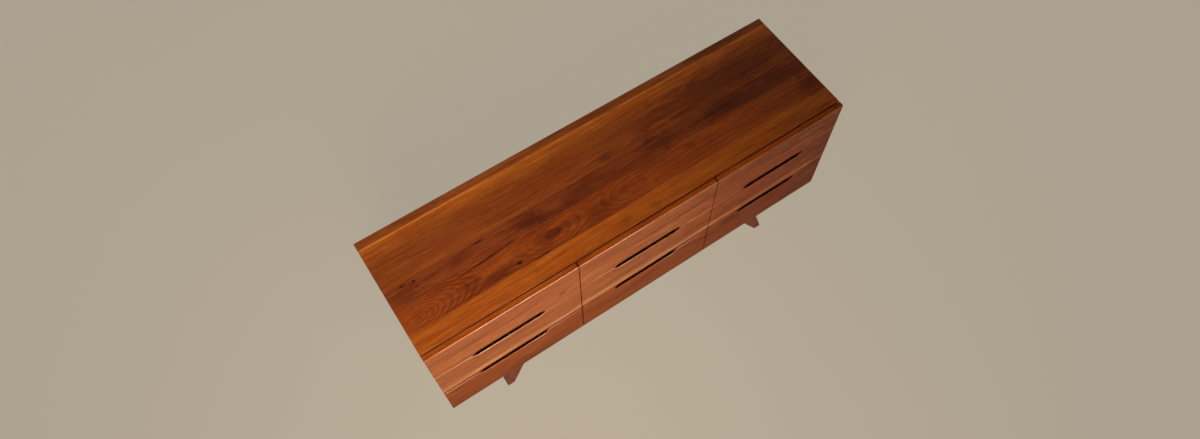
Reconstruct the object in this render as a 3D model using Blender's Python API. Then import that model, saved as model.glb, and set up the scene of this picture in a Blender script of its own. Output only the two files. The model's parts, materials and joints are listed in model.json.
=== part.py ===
# Nine-drawer dresser in solid wood: a housed case on two splayed leg frames, nine side-hung
# drawers with overlay fronts, and long finger slots cut where the fronts meet.
import math

import bmesh
import bpy
from mathutils import Vector

for existing in list(bpy.data.objects):
    bpy.data.objects.remove(existing, do_unlink=True)

mm = 0.001

# Overall sizes: X runs along the dresser, -Y is its front and Z is up from the floor.
overall_width = 1780 * mm
overall_depth = 507 * mm
leg_height = 200 * mm
case_height = 570 * mm
column_names = ["left", "centre", "right"]
row_names = ["top", "middle", "bottom"]

# Clearances: pieces that touch keep seat_gap, and cutters run past what they cut.
seat_gap = 0.3 * mm
cut_overrun = 2 * mm

# Drawer fronts and the gaps that show between them.
front_thickness = 21 * mm
front_reveal = 4 * mm
column_gap = 3 * mm
row_gap = 2 * mm
front_edge_round = 2.5 * mm

# Finger slots: the upper front is notched upwards and the lower front downwards.
slot_length = 300 * mm
slot_ramp_length = 28 * mm
slot_rise = 12 * mm
slot_drop = 20 * mm
slot_ramp_steps = 7
lip_thickness = 3.5 * mm
lip_fall = 52 * mm
lip_end_slope_share = 0.6

# Case panels and their joints.
top_thickness = 22 * mm
side_thickness = 22 * mm
floor_thickness = 20 * mm
divider_thickness = 20 * mm
back_thickness = 8 * mm
back_inset = 4 * mm
rabbet_lap = 10 * mm
corner_lap = 12 * mm
divider_housing = 6 * mm
case_edge_round = 1.5 * mm

# Drawer boxes.
box_length = 455 * mm
box_lift = 24 * mm
box_drop = 28 * mm
box_clearance = 1 * mm
box_side_thickness = 15 * mm
box_back_thickness = 12 * mm
box_floor_thickness = 6 * mm
box_floor_inset = 10 * mm
box_groove_depth = 6 * mm
box_edge_round = 2 * mm

# Sliding dovetail that holds each drawer side to its front.
key_depth = 9 * mm
key_root_width = 8 * mm
key_tip_width = 11 * mm

# Through dovetails at the drawer's back corners.
tail_count = 3
pin_width = 7 * mm
pin_flare = 2 * mm

# Runners glued to the case walls, and the groove that rides on each.
runner_height = 18 * mm
runner_reach = 8 * mm
runner_setback = 25 * mm
runner_groove_depth = 7.5 * mm

# Legs: flat blades that lean inwards and back as they rise.
foot_inset = 231 * mm
foot_width = 33 * mm
foot_depth = 42 * mm
foot_setback = 21 * mm
leg_top_depth = 48 * mm
leg_outer_lean_share = 0.30
leg_inner_lean_share = 0.66
leg_back_lean_share = 0.15
leg_edge_round = 3 * mm

# Rail that ties a front leg to a back leg under the case, with its tenons and screw holes.
rail_height = 58 * mm
rail_thickness = 24 * mm
tenon_length = 24 * mm
tenon_thickness = 10 * mm
tenon_shoulder = 9 * mm
screw_radius = 2.5 * mm
screw_head_radius = 6 * mm
screw_well_depth = 24 * mm
screw_bite = 12 * mm
screw_side_count = 16
screw_place_shares = [-0.34, 0.0, 0.34]

# Places that follow from the sizes above.
overall_height = leg_height + case_height
front_plane = -overall_depth / 2
back_plane = overall_depth / 2
case_front = front_plane + front_thickness + front_reveal
back_panel_face = back_plane - back_inset - back_thickness
half_width = overall_width / 2
inner_half_width = half_width - side_thickness
case_ceiling = overall_height - top_thickness
case_floor = leg_height + floor_thickness
column_pitch = overall_width / len(column_names)
front_width = (overall_width - column_gap * (len(column_names) - 1)) / len(column_names)
front_height = (case_height - row_gap * (len(row_names) - 1)) / len(row_names)
box_height = front_height - box_lift - box_drop
box_back_low = box_lift + box_floor_inset + box_floor_thickness + seat_gap
box_back_height = box_lift + box_height - box_back_low
runner_middle = box_back_low + box_back_height / 2
box_rear = front_thickness + box_length
runner_front = case_front + runner_setback


def make_material(name, colour, roughness):
    material = bpy.data.materials.new(name)
    material.use_nodes = True
    shader = material.node_tree.nodes["Principled BSDF"]
    shader.inputs["Base Color"].default_value = (*colour, 1.0)
    shader.inputs["Roughness"].default_value = roughness
    return material


# Colours are linear values of what the photograph shows; the drawer boxes are a pale second wood.
front_colour = (0.38, 0.145, 0.048)
top_colour = (0.26, 0.068, 0.012)
case_colour = (0.25, 0.085, 0.028)
leg_colour = (0.22, 0.072, 0.030)
box_colour = (0.56, 0.39, 0.21)
floor_colour = (0.50, 0.36, 0.22)
oiled_roughness = 0.42
bare_roughness = 0.6


def place(mesh_builder, name, colour, roughness):
    """Turn a bmesh into a named object with its own material."""
    mesh = bpy.data.meshes.new(name)
    mesh_builder.to_mesh(mesh)
    mesh_builder.free()
    item = bpy.data.objects.new(name, mesh)
    bpy.context.scene.collection.objects.link(item)
    mesh.materials.append(make_material(name, colour, roughness))
    return item


def copy_of(item, name):
    """Add another piece that shares the mesh of the first one."""
    twin = bpy.data.objects.new(name, item.data)
    bpy.context.scene.collection.objects.link(twin)
    return twin


def loose(mesh_builder):
    """Make a nameless tool object for a cut or a union."""
    mesh = bpy.data.meshes.new("tool")
    mesh_builder.to_mesh(mesh)
    mesh_builder.free()
    tool = bpy.data.objects.new("tool", mesh)
    bpy.context.scene.collection.objects.link(tool)
    return tool


def combine(item, tool_mesh, operation):
    """Apply one Boolean to the item and throw the tool away."""
    tool = loose(tool_mesh)
    boolean = item.modifiers.new("combine", "BOOLEAN")
    boolean.operation = operation
    boolean.solver = "EXACT"
    boolean.object = tool
    depsgraph = bpy.context.evaluated_depsgraph_get()
    result = bpy.data.meshes.new_from_object(item.evaluated_get(depsgraph))
    item.modifiers.clear()
    item.data = result
    bpy.data.objects.remove(tool, do_unlink=True)


def cut(item, tool_mesh):
    combine(item, tool_mesh, "DIFFERENCE")


def fuse(item, tool_mesh):
    combine(item, tool_mesh, "UNION")


def block(x_range, y_range, z_range):
    """A box between two limits on each axis."""
    builder = bmesh.new()
    size = [high - low for low, high in (x_range, y_range, z_range)]
    middle = [(high + low) / 2 for low, high in (x_range, y_range, z_range)]
    bmesh.ops.create_cube(builder, size=1.0)
    bmesh.ops.scale(builder, vec=size, verts=builder.verts)
    bmesh.ops.translate(builder, vec=middle, verts=builder.verts)
    return builder


def prism(outline, across, start, end):
    """Extrude an outline along X, Y or Z; its points are given on the other two axes in order."""
    spots = {
        "X": lambda first, second: (start, first, second),
        "Y": lambda first, second: (first, start, second),
        "Z": lambda first, second: (first, second, start),
    }
    travel = {"X": (1, 0, 0), "Y": (0, 1, 0), "Z": (0, 0, 1)}
    builder = bmesh.new()
    corners = [builder.verts.new(spots[across](*point)) for point in outline]
    face = builder.faces.new(corners)
    extruded = bmesh.ops.extrude_face_region(builder, geom=[face])
    moved = [item for item in extruded["geom"] if isinstance(item, bmesh.types.BMVert)]
    bmesh.ops.translate(builder, vec=Vector(travel[across]) * (end - start), verts=moved)
    bmesh.ops.recalc_face_normals(builder, faces=builder.faces)
    return builder


def round_edges(builder, chosen, radius, segments=3):
    """Round the edges for which the test on their middle point and direction holds."""
    edges = [edge for edge in builder.edges if chosen(*[vertex.co for vertex in edge.verts])]
    bmesh.ops.bevel(
        builder, geom=edges, offset=radius, offset_type="OFFSET",
        segments=segments, profile=0.5, affect="EDGES", clamp_overlap=True,
    )


def both_at(axis, value):
    """A test for edges that lie wholly in the plane where one coordinate has a value."""
    return lambda one, other: abs(one[axis] - value) < seat_gap and abs(other[axis] - value) < seat_gap


def cylinder(middle_x, middle_y, low, high, radius):
    """An upright round bar."""
    builder = bmesh.new()
    bmesh.ops.create_cone(
        builder, cap_ends=True, segments=screw_side_count,
        radius1=radius, radius2=radius, depth=high - low,
    )
    bmesh.ops.translate(builder, vec=(middle_x, middle_y, (low + high) / 2), verts=builder.verts)
    return builder


def divider_places():
    """X of each divider, in line with the gaps between the columns of fronts."""
    return [-half_width + column_pitch * (index + 1) for index in range(len(column_names) - 1)]


def bay_limits(column):
    """Left and right walls of the bay behind one column of fronts."""
    walls = [place_x + divider_thickness / 2 for place_x in divider_places()]
    left = -inner_half_width if column == 0 else walls[column - 1]
    last = column == len(column_names) - 1
    right = inner_half_width if last else walls[column] - divider_thickness
    return left, right


def front_low(row):
    """Height of the lower edge of a row's fronts."""
    return overall_height - front_height * (row + 1) - row_gap * row


def make_top_panel():
    builder = block((-half_width, half_width), (case_front, back_plane), (case_ceiling, overall_height))
    round_edges(builder, both_at(2, overall_height), case_edge_round)
    panel = place(builder, "top_panel", top_colour, oiled_roughness)
    y_through = (case_front - cut_overrun, back_plane + cut_overrun)
    for side in (-1, 1):
        near = side * (inner_half_width - seat_gap)
        far = side * (half_width + cut_overrun)
        cut(panel, block(sorted((near, far)), y_through, (case_ceiling - cut_overrun, case_ceiling + corner_lap)))
    for place_x in divider_places():
        reach = divider_thickness / 2 + seat_gap
        z_range = (case_ceiling - cut_overrun, case_ceiling + divider_housing)
        cut(panel, block((place_x - reach, place_x + reach), y_through, z_range))
    lap = inner_half_width + rabbet_lap
    z_range = (case_ceiling - cut_overrun, case_ceiling + rabbet_lap)
    cut(panel, block((-lap, lap), (back_panel_face - seat_gap, back_plane + cut_overrun), z_range))
    return panel


def make_side_panel(side, name):
    x_range = sorted((side * inner_half_width, side * half_width))
    z_range = (leg_height, case_ceiling + corner_lap - seat_gap)
    builder = block(x_range, (case_front, back_plane), z_range)
    panel = place(builder, name, case_colour, oiled_roughness)
    seat = sorted((side * (inner_half_width - cut_overrun), side * (inner_half_width + rabbet_lap)))
    y_through = (case_front - cut_overrun, back_plane + cut_overrun)
    cut(panel, block(seat, y_through, (leg_height - cut_overrun, case_floor + seat_gap)))
    tall = (leg_height - cut_overrun, overall_height)
    cut(panel, block(seat, (back_panel_face - seat_gap, back_plane + cut_overrun), tall))
    add_runners(panel, side * inner_half_width, -side)
    return panel


def make_floor_panel():
    reach = inner_half_width + rabbet_lap - seat_gap
    builder = block((-reach, reach), (case_front, back_plane), (leg_height, case_floor))
    panel = place(builder, "bottom_panel", case_colour, oiled_roughness)
    y_through = (case_front - cut_overrun, back_plane + cut_overrun)
    for place_x in divider_places():
        half = divider_thickness / 2 + seat_gap
        z_range = (case_floor - divider_housing, case_floor + cut_overrun)
        cut(panel, block((place_x - half, place_x + half), y_through, z_range))
    z_range = (case_floor - rabbet_lap, case_floor + cut_overrun)
    y_range = (back_panel_face - seat_gap, back_plane + cut_overrun)
    cut(panel, block((-half_width, half_width), y_range, z_range))
    for place_x, place_y in screw_places():
        low = leg_height - cut_overrun
        high = leg_height + screw_bite + seat_gap
        cut(panel, cylinder(place_x, place_y, low, high, screw_radius + seat_gap))
    return panel


def make_dividers():
    names = ["left_divider", "right_divider"]
    z_range = (case_floor - divider_housing + seat_gap, case_ceiling + divider_housing - seat_gap)
    for name, place_x in zip(names, divider_places()):
        x_range = (place_x - divider_thickness / 2, place_x + divider_thickness / 2)
        builder = block(x_range, (case_front, back_panel_face - 2 * seat_gap), z_range)
        divider = place(builder, name, case_colour, oiled_roughness)
        add_runners(divider, x_range[0], -1)
        add_runners(divider, x_range[1], 1)


def make_back_panel():
    reach = inner_half_width + rabbet_lap - seat_gap
    z_range = (case_floor - rabbet_lap + seat_gap, case_ceiling + rabbet_lap - seat_gap)
    builder = block((-reach, reach), (back_panel_face, back_panel_face + back_thickness), z_range)
    place(builder, "back_panel", case_colour, bare_roughness)


def add_runners(wall, face_x, inward):
    """Glue one runner strip for each row onto a wall's face; inward is +1 or -1 along X."""
    x_range = sorted((face_x - inward * cut_overrun, face_x + inward * runner_reach))
    for row in range(len(row_names)):
        middle = front_low(row) + runner_middle
        z_range = (middle - runner_height / 2, middle + runner_height / 2)
        fuse(wall, block(x_range, (runner_front, back_panel_face - 2 * seat_gap), z_range))


def leg_sides(height):
    """Outer and inner X of a leg at a height, measured in from the dresser's end."""
    outer = foot_inset + leg_outer_lean_share * height
    inner = foot_inset + foot_width + leg_inner_lean_share * height
    return outer, inner


def leg_faces(height):
    """Front and rear Y of a front leg at a height, measured back from the dresser's front."""
    front = foot_setback + leg_back_lean_share * height
    depth = foot_depth + (leg_top_depth - foot_depth) * height / leg_height
    return front, front + depth


def leg_top_middle():
    return half_width - sum(leg_sides(leg_height)) / 2


def make_leg(x_sign, y_sign, name):
    builder = bmesh.new()
    rings = []
    for height in (0.0, leg_height - seat_gap):
        outer, inner = leg_sides(height)
        front, rear = leg_faces(height)
        corners = [(outer, front), (inner, front), (inner, rear), (outer, rear)]
        spots = [(x_sign * (half_width - x), y_sign * (back_plane - y), height) for x, y in corners]
        rings.append([builder.verts.new(spot) for spot in spots])
    low, high = rings
    builder.faces.new(low)
    builder.faces.new(high)
    for index in range(len(low)):
        after = (index + 1) % len(low)
        builder.faces.new((low[index], low[after], high[after], high[index]))
    bmesh.ops.recalc_face_normals(builder, faces=builder.faces)
    round_edges(builder, lambda one, other: abs(one[2] - other[2]) > foot_width, leg_edge_round)
    leg = place(builder, name, leg_colour, oiled_roughness)
    cut(leg, tenon_block(x_sign, y_sign, seat_gap))
    return leg


def tenon_block(x_sign, y_sign, clearance):
    """The tenon on one end of a rail, or the mortise that takes it when given a clearance."""
    shoulder = back_plane - leg_faces(leg_height)[1]
    reach = shoulder + tenon_length + clearance
    middle = x_sign * leg_top_middle()
    half = tenon_thickness / 2 + clearance
    high = leg_height - seat_gap - tenon_shoulder
    low = leg_height - rail_height + tenon_shoulder
    y_range = sorted((y_sign * (shoulder - tenon_length), y_sign * reach))
    return block((middle - half, middle + half), y_range, (low - clearance, high + clearance))


def rail_end(height):
    """Half the rail's length at a height, so that its shoulder lies along the leaning leg."""
    return back_plane - leg_faces(height)[1] - seat_gap


def make_rail(x_sign, name):
    low = leg_height - rail_height
    high = leg_height - seat_gap
    outline = [
        (-rail_end(low), low), (rail_end(low), low),
        (rail_end(high), high), (-rail_end(high), high),
    ]
    middle = x_sign * leg_top_middle()
    builder = prism(outline, "X", middle - rail_thickness / 2, middle + rail_thickness / 2)
    rail = place(builder, name, leg_colour, oiled_roughness)
    for y_sign in (-1, 1):
        fuse(rail, tenon_block(x_sign, y_sign, 0.0))
    for place_x, place_y in screw_places():
        if place_x * x_sign > 0:
            well_top = low + screw_well_depth
            cut(rail, cylinder(place_x, place_y, low - cut_overrun, well_top, screw_head_radius + seat_gap))
            cut(rail, cylinder(place_x, place_y, low, leg_height + cut_overrun, screw_radius + seat_gap))
    return rail


def screw_places():
    """X and Y of the screws that hold the leg rails to the case."""
    span = 2 * rail_end(leg_height)
    return [(sign * leg_top_middle(), share * span) for sign in (-1, 1) for share in screw_place_shares]


def notch_points(height):
    """Points of a slot's notch from one tip to the other, rising to a height along smooth ramps."""
    half = slot_length / 2
    steps = range(slot_ramp_steps + 1)
    ramp = [(slot_ramp_length * step / slot_ramp_steps, math.pi / 2 * step / slot_ramp_steps) for step in steps]
    rising = [(-half + along, height * math.sin(angle)) for along, angle in ramp]
    return rising + [(-x, z) for x, z in reversed(rising)]


def front_outline(row):
    """The front seen from the room, with a notch on each edge that meets another front."""
    half = front_width / 2
    outline = [(-half, 0.0)]
    if row < len(row_names) - 1:
        outline += notch_points(slot_rise)
    outline += [(half, 0.0), (half, front_height)]
    if row > 0:
        outline += [(-x, front_height - z) for x, z in notch_points(slot_drop)]
    outline.append((-half, front_height))
    return outline


def lip_cutter():
    """Thins the lower notch from behind to a finger lip; below the lip its face and ends slope."""
    floor_level = front_height - slot_drop
    slope = lip_fall / (front_thickness - lip_thickness)
    high = front_height + cut_overrun
    far = front_thickness + cut_overrun
    low = floor_level - slope * (far - lip_thickness)
    half = slot_length / 2 - lip_thickness
    builder = bmesh.new()
    for side in (-1, 1):
        for y, z in ((lip_thickness, high), (lip_thickness, floor_level), (far, low), (far, high)):
            reach = half - max(floor_level - z, 0.0) * lip_end_slope_share
            builder.verts.new((side * reach, y, z))
    bmesh.ops.convex_hull(builder, input=builder.verts)
    bmesh.ops.recalc_face_normals(builder, faces=builder.faces)
    return builder


def key_outline(middle, clearance):
    """Plan of the sliding dovetail, from inside the drawer side into the front's thickness."""
    root = key_root_width / 2 + clearance
    tip = key_tip_width / 2 + clearance
    mouth = front_thickness + cut_overrun
    deep = front_thickness - key_depth - clearance
    return [(middle - root, mouth), (middle + root, mouth), (middle + tip, deep), (middle - tip, deep)]


def box_limits(column):
    """Outer faces of a drawer box, measured from the middle of its front."""
    left, right = bay_limits(column)
    middle = -half_width + column_pitch * (column + 0.5)
    return left + box_clearance - middle, right - box_clearance - middle


def make_front(column, row, name):
    builder = prism(front_outline(row), "Y", 0.0, front_thickness)
    round_edges(builder, both_at(1, 0.0), front_edge_round)
    front = place(builder, name, front_colour, oiled_roughness)
    if row > 0:
        cut(front, lip_cutter())
    left, right = box_limits(column)
    for middle in (left + box_side_thickness / 2, right - box_side_thickness / 2):
        top = box_lift + box_height + seat_gap
        cut(front, prism(key_outline(middle, seat_gap), "Z", -cut_overrun, top))
    x_range = (left + box_side_thickness - box_groove_depth, right - box_side_thickness + box_groove_depth)
    y_range = (front_thickness - box_groove_depth, front_thickness + cut_overrun)
    cut(front, block(x_range, y_range, floor_slot()))
    return front


def floor_slot():
    """Height range of the groove that holds a drawer's bottom."""
    low = box_lift + box_floor_inset
    return low - seat_gap, low + box_floor_thickness + seat_gap


def pin_lines():
    """Lower and upper edges of each pin of the drawer's back, at its inner and its outer face."""
    lines = []
    for index in range(tail_count + 1):
        middle = box_back_low + box_back_height * index / tail_count
        thin = pin_width / 2
        wide = thin + pin_flare
        low = (middle, middle) if index == 0 else (middle - wide, middle - thin)
        high = (middle, middle) if index == tail_count else (middle + wide, middle + thin)
        lines.append((low, high))
    return lines


def side_outline():
    """A drawer side seen from outside, with tails at its rear end."""
    inner = box_rear - box_back_thickness - seat_gap
    top = box_lift + box_height
    outline = [(front_thickness + seat_gap, box_lift), (box_rear, box_lift)]
    for index, (low, high) in enumerate(pin_lines()):
        outline += [(box_rear, low[1] - seat_gap), (inner, low[0] - seat_gap)]
        if index < tail_count:
            outline += [(inner, high[0] + seat_gap), (box_rear, high[1] + seat_gap)]
    outline += [(inner, top), (front_thickness + seat_gap, top)]
    return outline


def make_box_side(name):
    """The left-hand side, with its outer face at X = 0."""
    builder = prism(side_outline(), "X", 0.0, box_side_thickness)
    top = box_lift + box_height
    rim = lambda one, other: both_at(2, top)(one, other) and abs(one[1] - other[1]) > box_back_thickness
    round_edges(builder, rim, box_edge_round)
    side = place(builder, name, box_colour, bare_roughness)
    tongue = prism(key_outline(box_side_thickness / 2, 0.0), "Z", box_lift, box_lift + box_height)
    fuse(side, tongue)
    groove_front = runner_front - front_plane - seat_gap
    half = runner_height / 2 + seat_gap
    y_range = (groove_front, box_rear + cut_overrun)
    cut(side, block((-cut_overrun, runner_groove_depth), y_range, (runner_middle - half, runner_middle + half)))
    x_range = (box_side_thickness - box_groove_depth, box_side_thickness + cut_overrun)
    y_range = (front_thickness - key_depth - cut_overrun, box_rear + cut_overrun)
    cut(side, block(x_range, y_range, floor_slot()))
    return side


def mirrored(item, name):
    """The same piece for the other hand."""
    builder = bmesh.new()
    builder.from_mesh(item.data)
    bmesh.ops.scale(builder, vec=(-1, 1, 1), verts=builder.verts)
    bmesh.ops.reverse_faces(builder, faces=builder.faces)
    return place(builder, name, box_colour, bare_roughness)


def make_box_back(width, name):
    """The back: a strip of faces pulled out to a board, then its pins pulled out of both ends."""
    inner_half = width / 2 - box_side_thickness - seat_gap
    rear = box_rear
    near = box_rear - box_back_thickness
    builder = bmesh.new()
    rungs = []
    for low, high in pin_lines():
        rungs += [low, high]
    rungs = [[builder.verts.new((-inner_half, near, inner)), builder.verts.new((-inner_half, rear, outer))]
             for inner, outer in rungs]
    strips = [builder.faces.new((one[0], one[1], two[1], two[0])) for one, two in zip(rungs, rungs[1:])]
    extruded = bmesh.ops.extrude_face_region(builder, geom=strips)
    moved = [item for item in extruded["geom"] if isinstance(item, bmesh.types.BMVert)]
    bmesh.ops.translate(builder, vec=(2 * inner_half, 0.0, 0.0), verts=moved)
    bmesh.ops.recalc_face_normals(builder, faces=builder.faces)
    ends = [face for face in builder.faces if abs(face.normal[0]) > math.cos(math.pi / 4)]
    ends.sort(key=lambda face: face.calc_center_median()[2])
    pins = [face for index, face in enumerate(ends) if (index // 2) % 2 == 0]
    for face in pins:
        out = 1 if face.calc_center_median()[0] > 0 else -1
        pulled = bmesh.ops.extrude_face_region(builder, geom=[face])
        tips = [item for item in pulled["geom"] if isinstance(item, bmesh.types.BMVert)]
        bmesh.ops.translate(builder, vec=(out * (box_side_thickness + seat_gap), 0.0, 0.0), verts=tips)
        bmesh.ops.delete(builder, geom=[face], context="FACES")
    bmesh.ops.recalc_face_normals(builder, faces=builder.faces)
    return place(builder, name, box_colour, bare_roughness)


def make_box_floor(width, name):
    half = width / 2 - box_side_thickness + box_groove_depth - seat_gap
    low = box_lift + box_floor_inset
    y_range = (front_thickness - box_groove_depth + seat_gap, box_rear)
    builder = block((-half, half), y_range, (low, low + box_floor_thickness))
    return place(builder, name, floor_colour, bare_roughness)


def shared(kind, stock, name, maker, *sizes):
    """The first piece of a kind is made, and the later ones share its mesh."""
    if kind in stock:
        return copy_of(stock[kind], name)
    stock[kind] = maker(*sizes, name)
    return stock[kind]


def make_drawers():
    """Each drawer hangs on an empty at the lower middle of its front, on its slide's axis."""
    stock = {}
    for row, row_name in enumerate(row_names):
        for column, column_name in enumerate(column_names):
            name = row_name + "_" + column_name + "_drawer"
            left, right = box_limits(column)
            width = right - left
            middle = (left + right) / 2
            front = make_front(column, row, name + "_front")
            left_side = shared("left side", stock, name + "_left_side", make_box_side)
            right_side = shared("right side", stock, name + "_right_side", mirrored, stock["left side"])
            back = shared(("back", round(width / mm)), stock, name + "_back", make_box_back, width)
            floor = shared(("floor", round(width / mm)), stock, name + "_bottom", make_box_floor, width)
            drawer = bpy.data.objects.new(name, None)
            bpy.context.scene.collection.objects.link(drawer)
            drawer.location = (-half_width + column_pitch * (column + 0.5), front_plane, front_low(row))
            for piece, place_x in ((front, 0.0), (left_side, left), (right_side, right), (back, middle), (floor, middle)):
                piece.parent = drawer
                piece.location[0] = place_x


make_top_panel()
make_side_panel(-1, "left_side_panel")
make_side_panel(1, "right_side_panel")
make_floor_panel()
make_dividers()
make_back_panel()
for x_sign, x_name in ((-1, "left"), (1, "right")):
    make_rail(x_sign, x_name + "_leg_rail")
    for y_sign, y_name in ((-1, "front"), (1, "back")):
        make_leg(x_sign, y_sign, y_name + "_" + x_name + "_leg")
make_drawers()
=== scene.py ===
# Looks of the nine-drawer dresser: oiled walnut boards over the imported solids, its small screws,
# a plain pale floor, soft light from the front left and the photograph's camera.
import json
import math

import bpy
from mathutils import Matrix, Vector

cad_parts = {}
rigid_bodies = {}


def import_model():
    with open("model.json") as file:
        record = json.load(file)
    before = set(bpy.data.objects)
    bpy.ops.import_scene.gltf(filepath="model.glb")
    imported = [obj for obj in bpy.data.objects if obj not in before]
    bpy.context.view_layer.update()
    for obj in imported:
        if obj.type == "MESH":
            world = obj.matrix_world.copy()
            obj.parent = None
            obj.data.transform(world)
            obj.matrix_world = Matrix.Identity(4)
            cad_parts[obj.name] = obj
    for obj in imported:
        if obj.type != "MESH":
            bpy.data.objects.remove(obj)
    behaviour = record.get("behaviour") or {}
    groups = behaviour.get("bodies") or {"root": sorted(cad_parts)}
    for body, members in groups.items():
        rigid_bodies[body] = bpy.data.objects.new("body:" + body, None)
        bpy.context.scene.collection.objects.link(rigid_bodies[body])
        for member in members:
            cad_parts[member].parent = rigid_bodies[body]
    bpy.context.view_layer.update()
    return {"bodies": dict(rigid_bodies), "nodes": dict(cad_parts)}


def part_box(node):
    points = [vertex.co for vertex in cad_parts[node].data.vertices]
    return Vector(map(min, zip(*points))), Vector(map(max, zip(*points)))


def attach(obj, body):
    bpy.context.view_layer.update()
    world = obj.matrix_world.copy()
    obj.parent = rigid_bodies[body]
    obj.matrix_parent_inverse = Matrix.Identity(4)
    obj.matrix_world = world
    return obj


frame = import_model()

nodes = frame["nodes"]
scene = bpy.context.scene
mm = 0.001


def hexToLinear(text):
    # sRGB hex to the linear colour that a shader socket takes
    parts = [int(text[i:i + 2], 16) / 255 for i in (1, 3, 5)]
    return tuple(c / 12.92 if c <= 0.04045 else ((c + 0.055) / 1.055) ** 2.4 for c in parts) + (1.0,)


def addNode(tree, kind, settings):
    # adds one node: number keys are places of inputs, nodes and sockets are linked, other values are set
    node = tree.nodes.new(kind)
    for key, value in settings.items():
        if isinstance(key, str) and hasattr(node, key):
            setattr(node, key, value)
        elif isinstance(value, bpy.types.Node):
            tree.links.new(value.outputs[0], node.inputs[key])
        elif isinstance(value, bpy.types.NodeSocket):
            tree.links.new(value, node.inputs[key])
        else:
            node.inputs[key].default_value = value
    return node


def fillRamp(node, stops, interpolation="LINEAR"):
    # sets a colour ramp's stops from (place, colour) pairs
    ramp = node.color_ramp
    ramp.interpolation = interpolation
    while len(ramp.elements) < len(stops):
        ramp.elements.new(1.0)
    for element, (place, colour) in zip(ramp.elements, stops):
        element.position = place
        element.color = colour


# Camera, from the photograph's own perspective
view = {
    "spot": (-0.8561, -1.2699, 3.3597),
    "yaw": -35.06, "tilt": 27.32, "roll": 0.85,   # degrees: about Z, then X, then the camera's own axis
    "lens": 25.083, "sensor": 36, "shiftX": -0.0142,
    "sightEnd": 100,                              # metres
}
cameraData = bpy.data.cameras.new("camera")
cameraData.lens = view["lens"]
cameraData.sensor_width = view["sensor"]
cameraData.sensor_fit = "HORIZONTAL"
cameraData.shift_x = view["shiftX"]
cameraData.clip_end = view["sightEnd"]
camera = bpy.data.objects.new("camera", cameraData)
scene.collection.objects.link(camera)
turn = (Matrix.Rotation(math.radians(view["yaw"]), 4, "Z")
        @ Matrix.Rotation(math.radians(view["tilt"]), 4, "X")
        @ Matrix.Rotation(math.radians(view["roll"]), 4, "Z"))
camera.matrix_world = Matrix.Translation(view["spot"]) @ turn
scene.camera = camera
scene.view_settings.view_transform = "Standard"

# Lamps, in metres, watts and degrees
lamps = {
    # a near window-like box at the front left gives the fall-off to the right, a far one fills
    "windowBox": {
        "spot": (-1.25, -1.65, 2.0), "aim": (-0.65, -0.2, 0.6), "size": (1.0, 1.0),
        "power": 43.0, "tint": "#fff8ee", "spread": 115},
    "fillBox": {
        "spot": (2.3, -3.4, 0.75), "aim": (0.5, -0.25, 0.4), "size": (2.0, 1.1),
        "power": 4.5, "tint": "#fff4e6", "spread": 180},
    # a low box in front lifts the middle of the fronts
    "frontBox": {
        "spot": (0.5, -1.9, 0.35), "aim": (0.5, -0.25, 0.5), "size": (1.1, 0.5),
        "power": 2.7, "tint": "#fff2e4", "spread": 110},
    # a narrow strip draws the line of light along the fronts' upper arris
    "edgeStrip": {
        "spot": (-0.25, -2.4, 1.58), "aim": (-0.4, -0.25, 0.75), "size": (0.8, 0.05),
        "power": 3.5, "tint": "#fff2f0", "spread": 60},
}
for name, lamp in lamps.items():
    lampData = bpy.data.lights.new(name, "AREA")
    lampData.shape = "RECTANGLE"
    lampData.size, lampData.size_y = lamp["size"]
    lampData.energy = lamp["power"]
    lampData.spread = math.radians(lamp["spread"])
    lampData.color = hexToLinear(lamp["tint"])[:3]
    lampObject = bpy.data.objects.new(name, lampData)
    scene.collection.objects.link(lampObject)
    lampObject.location = lamp["spot"]
    aimed = Vector(lamp["aim"]) - Vector(lamp["spot"])
    lampObject.rotation_euler = aimed.to_track_quat("-Z", "Y").to_euler()
    lampObject.visible_camera = False


def seenDirectly(tree):
    # 1 for rays from the camera and for those mirrored or bent on their way, which see the background too
    path = addNode(tree, "ShaderNodeLightPath", {})
    mirrored = addNode(tree, "ShaderNodeMath", {
        "operation": "MAXIMUM", 0: path.outputs["Is Glossy Ray"], 1: path.outputs["Is Transmission Ray"]})
    return addNode(tree, "ShaderNodeMath", {
        "operation": "MAXIMUM", 0: path.outputs["Is Camera Ray"], 1: mirrored})


# Room: pale all round under a dark ceiling, and the wall behind gives the most light. Tops and ends are
# the upward part of the direction looked in, and wallTurn is its backward part.
room = {
    "glow": "#e2d8c8", "glowTop": 0.2, "glowEnd": 0.45,               # the light that it gives
    "backdrop": "#e6dfd4", "backdropTop": 0.45, "backdropEnd": 0.6,   # what is seen of it
    "ceiling": "#1c1a17",
    "wallTurn": (-0.2, 0.6), "wallStrength": (0.5, 2.6),              # from the front wall to the back one
}
world = bpy.data.worlds.new("studioWorld")
scene.world = world
world.use_nodes = True
worldTree = world.node_tree
worldTree.nodes.clear()
direction = addNode(worldTree, "ShaderNodeTexCoord", {})
rise = addNode(worldTree, "ShaderNodeSeparateXYZ", {0: direction.outputs["Generated"]})
glowRamp = addNode(worldTree, "ShaderNodeValToRGB", {0: rise.outputs[2]})
fillRamp(glowRamp, [
    (0.0, hexToLinear(room["glow"])), (room["glowTop"], hexToLinear(room["glow"])),
    (room["glowEnd"], hexToLinear(room["ceiling"]))])
wallGlow = addNode(worldTree, "ShaderNodeMapRange", {
    0: rise.outputs[1], 1: room["wallTurn"][0], 2: room["wallTurn"][1],
    3: room["wallStrength"][0], 4: room["wallStrength"][1]})
roomGlow = addNode(worldTree, "ShaderNodeBackground", {"Color": glowRamp, "Strength": wallGlow})
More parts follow.
